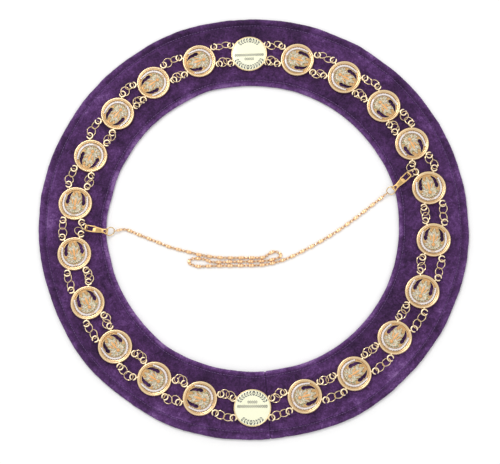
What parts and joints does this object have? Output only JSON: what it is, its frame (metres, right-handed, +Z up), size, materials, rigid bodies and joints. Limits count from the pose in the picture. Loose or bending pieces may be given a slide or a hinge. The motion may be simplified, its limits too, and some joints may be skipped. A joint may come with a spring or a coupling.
{
  "type": "ceremonial chain of office",
  "caption": "Velvet ring collar carrying a double strand chain of round cast medallions, closed across the neck by a fine chain with snap hooks.",
  "frame": {"origin": "centre of the velvet ring on the surface that it lies on", "axes": "+Z up, away from the surface; +Y towards the back plate, so that the front plate is at -Y; +X to the wearer's left when the collar is laid flat and seen from above"},
  "size_m": [0.4, 0.4, 0.0124],
  "materials": {
    "velvet": "crushed violet velvet",
    "gilt": "polished pale gilding",
    "cream_enamel": "glossy cream enamel in a gilt rim",
    "rose_gilt": "polished rose gold plating"
  },
  "bodies": {
    "collar": {"velvet_collar": "velvet", "medallion_01": "gilt", "medallion_02": "gilt", "medallion_03": "gilt", "medallion_04": "gilt", "medallion_05": "gilt", "medallion_06": "gilt", "medallion_07": "gilt", "medallion_08": "gilt", "medallion_09": "gilt", "medallion_10": "gilt", "medallion_11": "gilt", "medallion_12": "gilt", "medallion_13": "gilt", "medallion_14": "gilt", "medallion_15": "gilt", "medallion_16": "gilt", "medallion_17": "gilt", "medallion_18": "gilt", "medallion_19": "gilt", "medallion_20": "gilt", "front_plate": "cream_enamel", "back_plate": "cream_enamel", "links_01": "gilt", "links_02": "gilt", "links_03": "gilt", "links_04": "gilt", "links_05": "gilt", "links_06": "gilt", "links_07": "gilt", "links_08": "gilt", "links_09": "gilt", "links_10": "gilt", "links_11": "gilt", "links_12": "gilt", "links_13": "gilt", "links_14": "gilt", "links_15": "gilt", "links_16": "gilt", "links_17": "gilt", "links_18": "gilt", "links_19": "gilt", "links_20": "gilt", "links_21": "gilt", "links_22": "gilt", "left_hook_body": "gilt", "right_hook_body": "gilt", "left_jump_ring": "gilt", "right_jump_ring": "gilt", "fine_chain": "rose_gilt"},
    "left_hook_gate": {"left_hook_gate": "gilt"},
    "right_hook_gate": {"right_hook_gate": "gilt"}
  },
  "joints": [
    {"name": "left_hook_gate_hinge", "type": "hinge", "parent": "collar", "child": "left_hook_gate", "pos_m": [-0.14644, -0.00064, 0.00699], "axis": [0.0343, -0.0064, 0.9994], "range_deg": [0, 18], "stiffness_Nm_per_rad": 0.008, "springref_deg": -11.46},
    {"name": "right_hook_gate_hinge", "type": "hinge", "parent": "collar", "child": "right_hook_gate", "pos_m": [0.13814, 0.04291, 0.00705], "axis": [0.0251, 0.0242, -0.9994], "range_deg": [0, 18], "stiffness_Nm_per_rad": 0.008, "springref_deg": -11.46}
  ]
}
